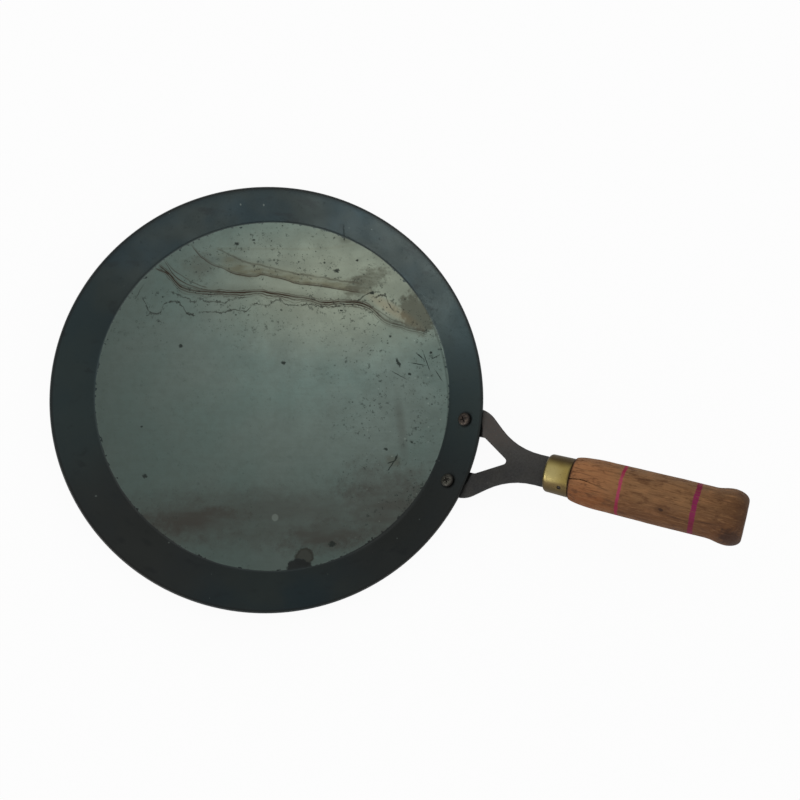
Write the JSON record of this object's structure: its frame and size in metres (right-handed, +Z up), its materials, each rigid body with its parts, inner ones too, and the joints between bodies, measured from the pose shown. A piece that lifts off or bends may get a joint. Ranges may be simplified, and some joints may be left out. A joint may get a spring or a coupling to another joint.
{
  "type": "tawa",
  "caption": "Round sheet-iron tawa with a flat cooking floor, a low flared wall and a raised turned wooden handle on a forked steel bracket.",
  "frame": {"origin": "centre of the pan's flat underside, on the surface that it stands on", "axes": "+Z up, +X along the handle away from the pan, +Y to the left of the handle seen from above"},
  "size_m": [0.4654, 0.2996, 0.1174],
  "materials": {
    "iron": "sheet iron, ground floor and dark oxidised wall",
    "black_steel": "black forge scale, lightly worn",
    "brass": "dull aged brass",
    "nail_steel": "rusty",
    "wood": "worn, bare, with two painted bands",
    "fastener_steel": "dull steel with rust in the recesses"
  },
  "bodies": {
    "root": {"pan": "iron", "bracket": "black_steel", "ferrule": "brass", "ferrule_nail": "nail_steel", "grip": "wood", "screw_left": "fastener_steel", "screw_right": "fastener_steel", "washer_left": "fastener_steel", "washer_right": "fastener_steel", "nut_left": "fastener_steel", "nut_right": "fastener_steel"}
  },
  "joints": []
}
